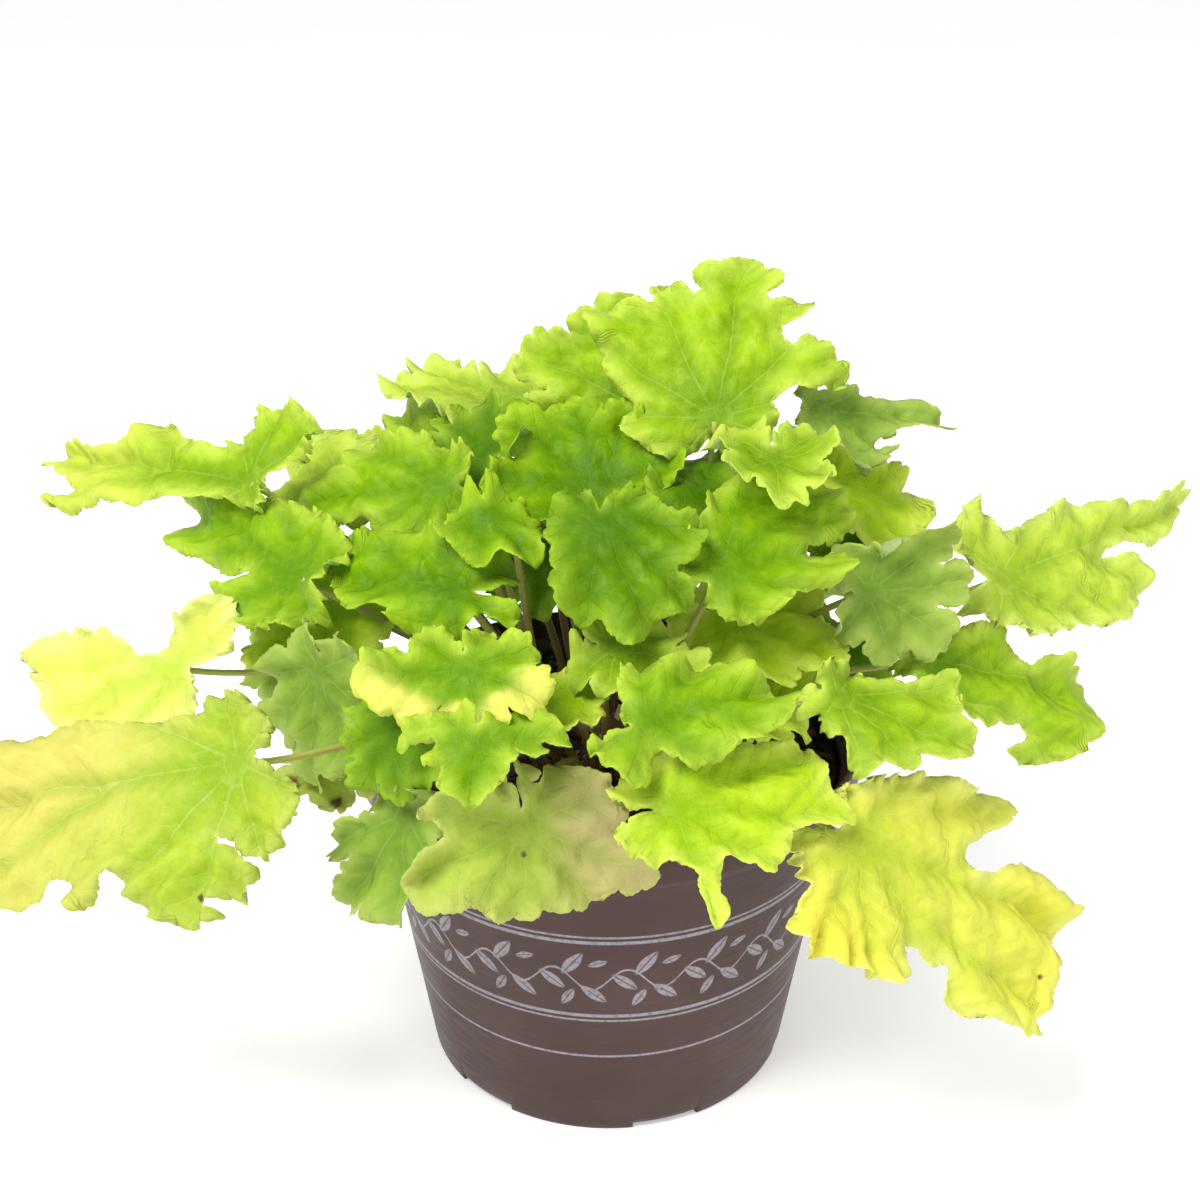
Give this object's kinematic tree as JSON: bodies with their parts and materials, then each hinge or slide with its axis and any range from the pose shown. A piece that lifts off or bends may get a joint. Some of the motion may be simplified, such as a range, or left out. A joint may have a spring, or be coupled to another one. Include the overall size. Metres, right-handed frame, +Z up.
{
  "type": "heuchera plant",
  "caption": "Potted heuchera: a round nursery pot filled with bark mix, with a mound of palmate, lobed and ruffled lime to gold leaves on slim stalks.",
  "frame": {"origin": "middle of the pot's flat base, on the surface it stands on", "axes": "+Z up the pot's axis, -Y the side the plant is seen from, +X to the right of that view"},
  "size_m": [0.4627, 0.3033, 0.3081],
  "materials": {
    "pot": "satin brown moulded plastic",
    "soil": "rough bark mix",
    "crown": "rough",
    "leaf_crest": "soft leaf",
    "leaf_crest_left": "soft leaf",
    "leaf_crest_right": "soft leaf",
    "leaf_left_arm": "soft leaf",
    "leaf_back_bowl": "soft leaf",
    "leaf_frill_cup": "soft leaf",
    "leaf_centre": "soft leaf",
    "leaf_centre_right": "soft leaf",
    "leaf_shade_right": "soft leaf",
    "leaf_right_back": "soft leaf",
    "leaf_right": "soft leaf",
    "leaf_right_low": "soft leaf",
    "leaf_folded_right": "soft leaf",
    "leaf_shadow_right": "soft leaf",
    "leaf_under_right": "soft leaf",
    "leaf_under_centre": "soft leaf",
    "leaf_front_centre": "soft leaf",
    "leaf_behind_front": "soft leaf",
    "leaf_front_bright": "soft leaf",
    "leaf_front_tan": "soft leaf",
    "leaf_front_left": "soft leaf",
    "leaf_gold_cup": "soft leaf",
    "leaf_left_centre": "soft leaf",
    "leaf_left_upper": "soft leaf",
    "leaf_left_frill": "soft leaf",
    "leaf_back_left": "soft leaf",
    "leaf_far_left": "soft leaf",
    "leaf_left_big": "soft leaf",
    "leaf_yellow": "soft leaf",
    "leaf_left_low": "soft leaf",
    "leaf_left_under": "soft leaf",
    "leaf_left_hang": "soft leaf",
    "leaf_brown_edge": "soft leaf",
    "leaf_low_left": "soft leaf",
    "leaf_low_hang": "soft leaf",
    "leaf_corner_gold": "soft leaf",
    "leaf_fill_upper": "soft leaf",
    "leaf_fill_left": "soft leaf",
    "leaf_fill_inner": "soft leaf",
    "leaf_fill_cap": "soft leaf",
    "leaf_fill_right": "soft leaf",
    "leaf_young": "soft leaf",
    "leaf_fill_back": "soft leaf",
    "leaf_back_low_1": "soft leaf",
    "leaf_back_low_2": "soft leaf",
    "leaf_back_low_3": "soft leaf",
    "leaf_back_low_4": "soft leaf",
    "leaf_back_mid_1": "soft leaf",
    "leaf_back_mid_2": "soft leaf",
    "leaf_back_mid_3": "soft leaf",
    "leaf_back_top_1": "soft leaf"
  },
  "bodies": {
    "root": {"pot": "pot", "soil": "soil", "crown": "crown", "leaf_crest": "leaf_crest", "leaf_crest_left": "leaf_crest_left", "leaf_crest_right": "leaf_crest_right", "leaf_left_arm": "leaf_left_arm", "leaf_back_bowl": "leaf_back_bowl", "leaf_frill_cup": "leaf_frill_cup", "leaf_centre": "leaf_centre", "leaf_centre_right": "leaf_centre_right", "leaf_shade_right": "leaf_shade_right", "leaf_right_back": "leaf_right_back", "leaf_right": "leaf_right", "leaf_right_low": "leaf_right_low", "leaf_folded_right": "leaf_folded_right", "leaf_shadow_right": "leaf_shadow_right", "leaf_under_right": "leaf_under_right", "leaf_under_centre": "leaf_under_centre", "leaf_front_centre": "leaf_front_centre", "leaf_behind_front": "leaf_behind_front", "leaf_front_bright": "leaf_front_bright", "leaf_front_tan": "leaf_front_tan", "leaf_front_left": "leaf_front_left", "leaf_gold_cup": "leaf_gold_cup", "leaf_left_centre": "leaf_left_centre", "leaf_left_upper": "leaf_left_upper", "leaf_left_frill": "leaf_left_frill", "leaf_back_left": "leaf_back_left", "leaf_far_left": "leaf_far_left", "leaf_left_big": "leaf_left_big", "leaf_yellow": "leaf_yellow", "leaf_left_low": "leaf_left_low", "leaf_left_under": "leaf_left_under", "leaf_left_hang": "leaf_left_hang", "leaf_brown_edge": "leaf_brown_edge", "leaf_low_left": "leaf_low_left", "leaf_low_hang": "leaf_low_hang", "leaf_corner_gold": "leaf_corner_gold", "leaf_fill_upper": "leaf_fill_upper", "leaf_fill_left": "leaf_fill_left", "leaf_fill_inner": "leaf_fill_inner", "leaf_fill_cap": "leaf_fill_cap", "leaf_fill_right": "leaf_fill_right", "leaf_young": "leaf_young", "leaf_fill_back": "leaf_fill_back", "leaf_back_low_1": "leaf_back_low_1", "leaf_back_low_2": "leaf_back_low_2", "leaf_back_low_3": "leaf_back_low_3", "leaf_back_low_4": "leaf_back_low_4", "leaf_back_mid_1": "leaf_back_mid_1", "leaf_back_mid_2": "leaf_back_mid_2", "leaf_back_mid_3": "leaf_back_mid_3", "leaf_back_top_1": "leaf_back_top_1"}
  },
  "joints": []
}
